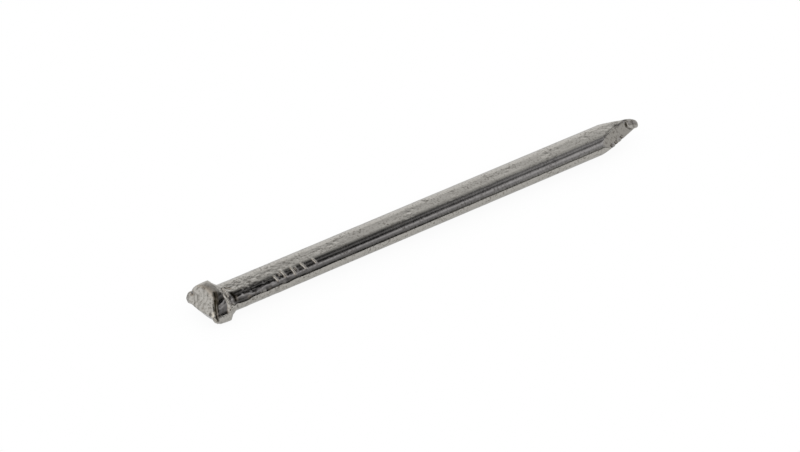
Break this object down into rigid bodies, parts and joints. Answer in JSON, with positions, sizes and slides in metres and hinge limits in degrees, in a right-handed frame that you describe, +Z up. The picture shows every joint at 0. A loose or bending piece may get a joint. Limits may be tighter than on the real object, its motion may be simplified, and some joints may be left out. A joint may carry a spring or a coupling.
{
  "type": "oval nail",
  "caption": "Oval brad head nail of drawn steel wire: a small forged wedge head, grip ribs under it, an oval shank and a cut point.",
  "frame": {"origin": "middle of the length and width, on the surface that the nail lies on", "axes": "+X from the head to the point, +Y across the broad side of the oval, +Z up, with the nail lying on its broad side"},
  "size_m": [0.05, 0.004, 0.0025],
  "materials": {
    "steel": "bright drawn steel wire, not plated, with die marks and small nicks"
  },
  "bodies": {
    "root": {"nail": "steel"}
  },
  "joints": []
}
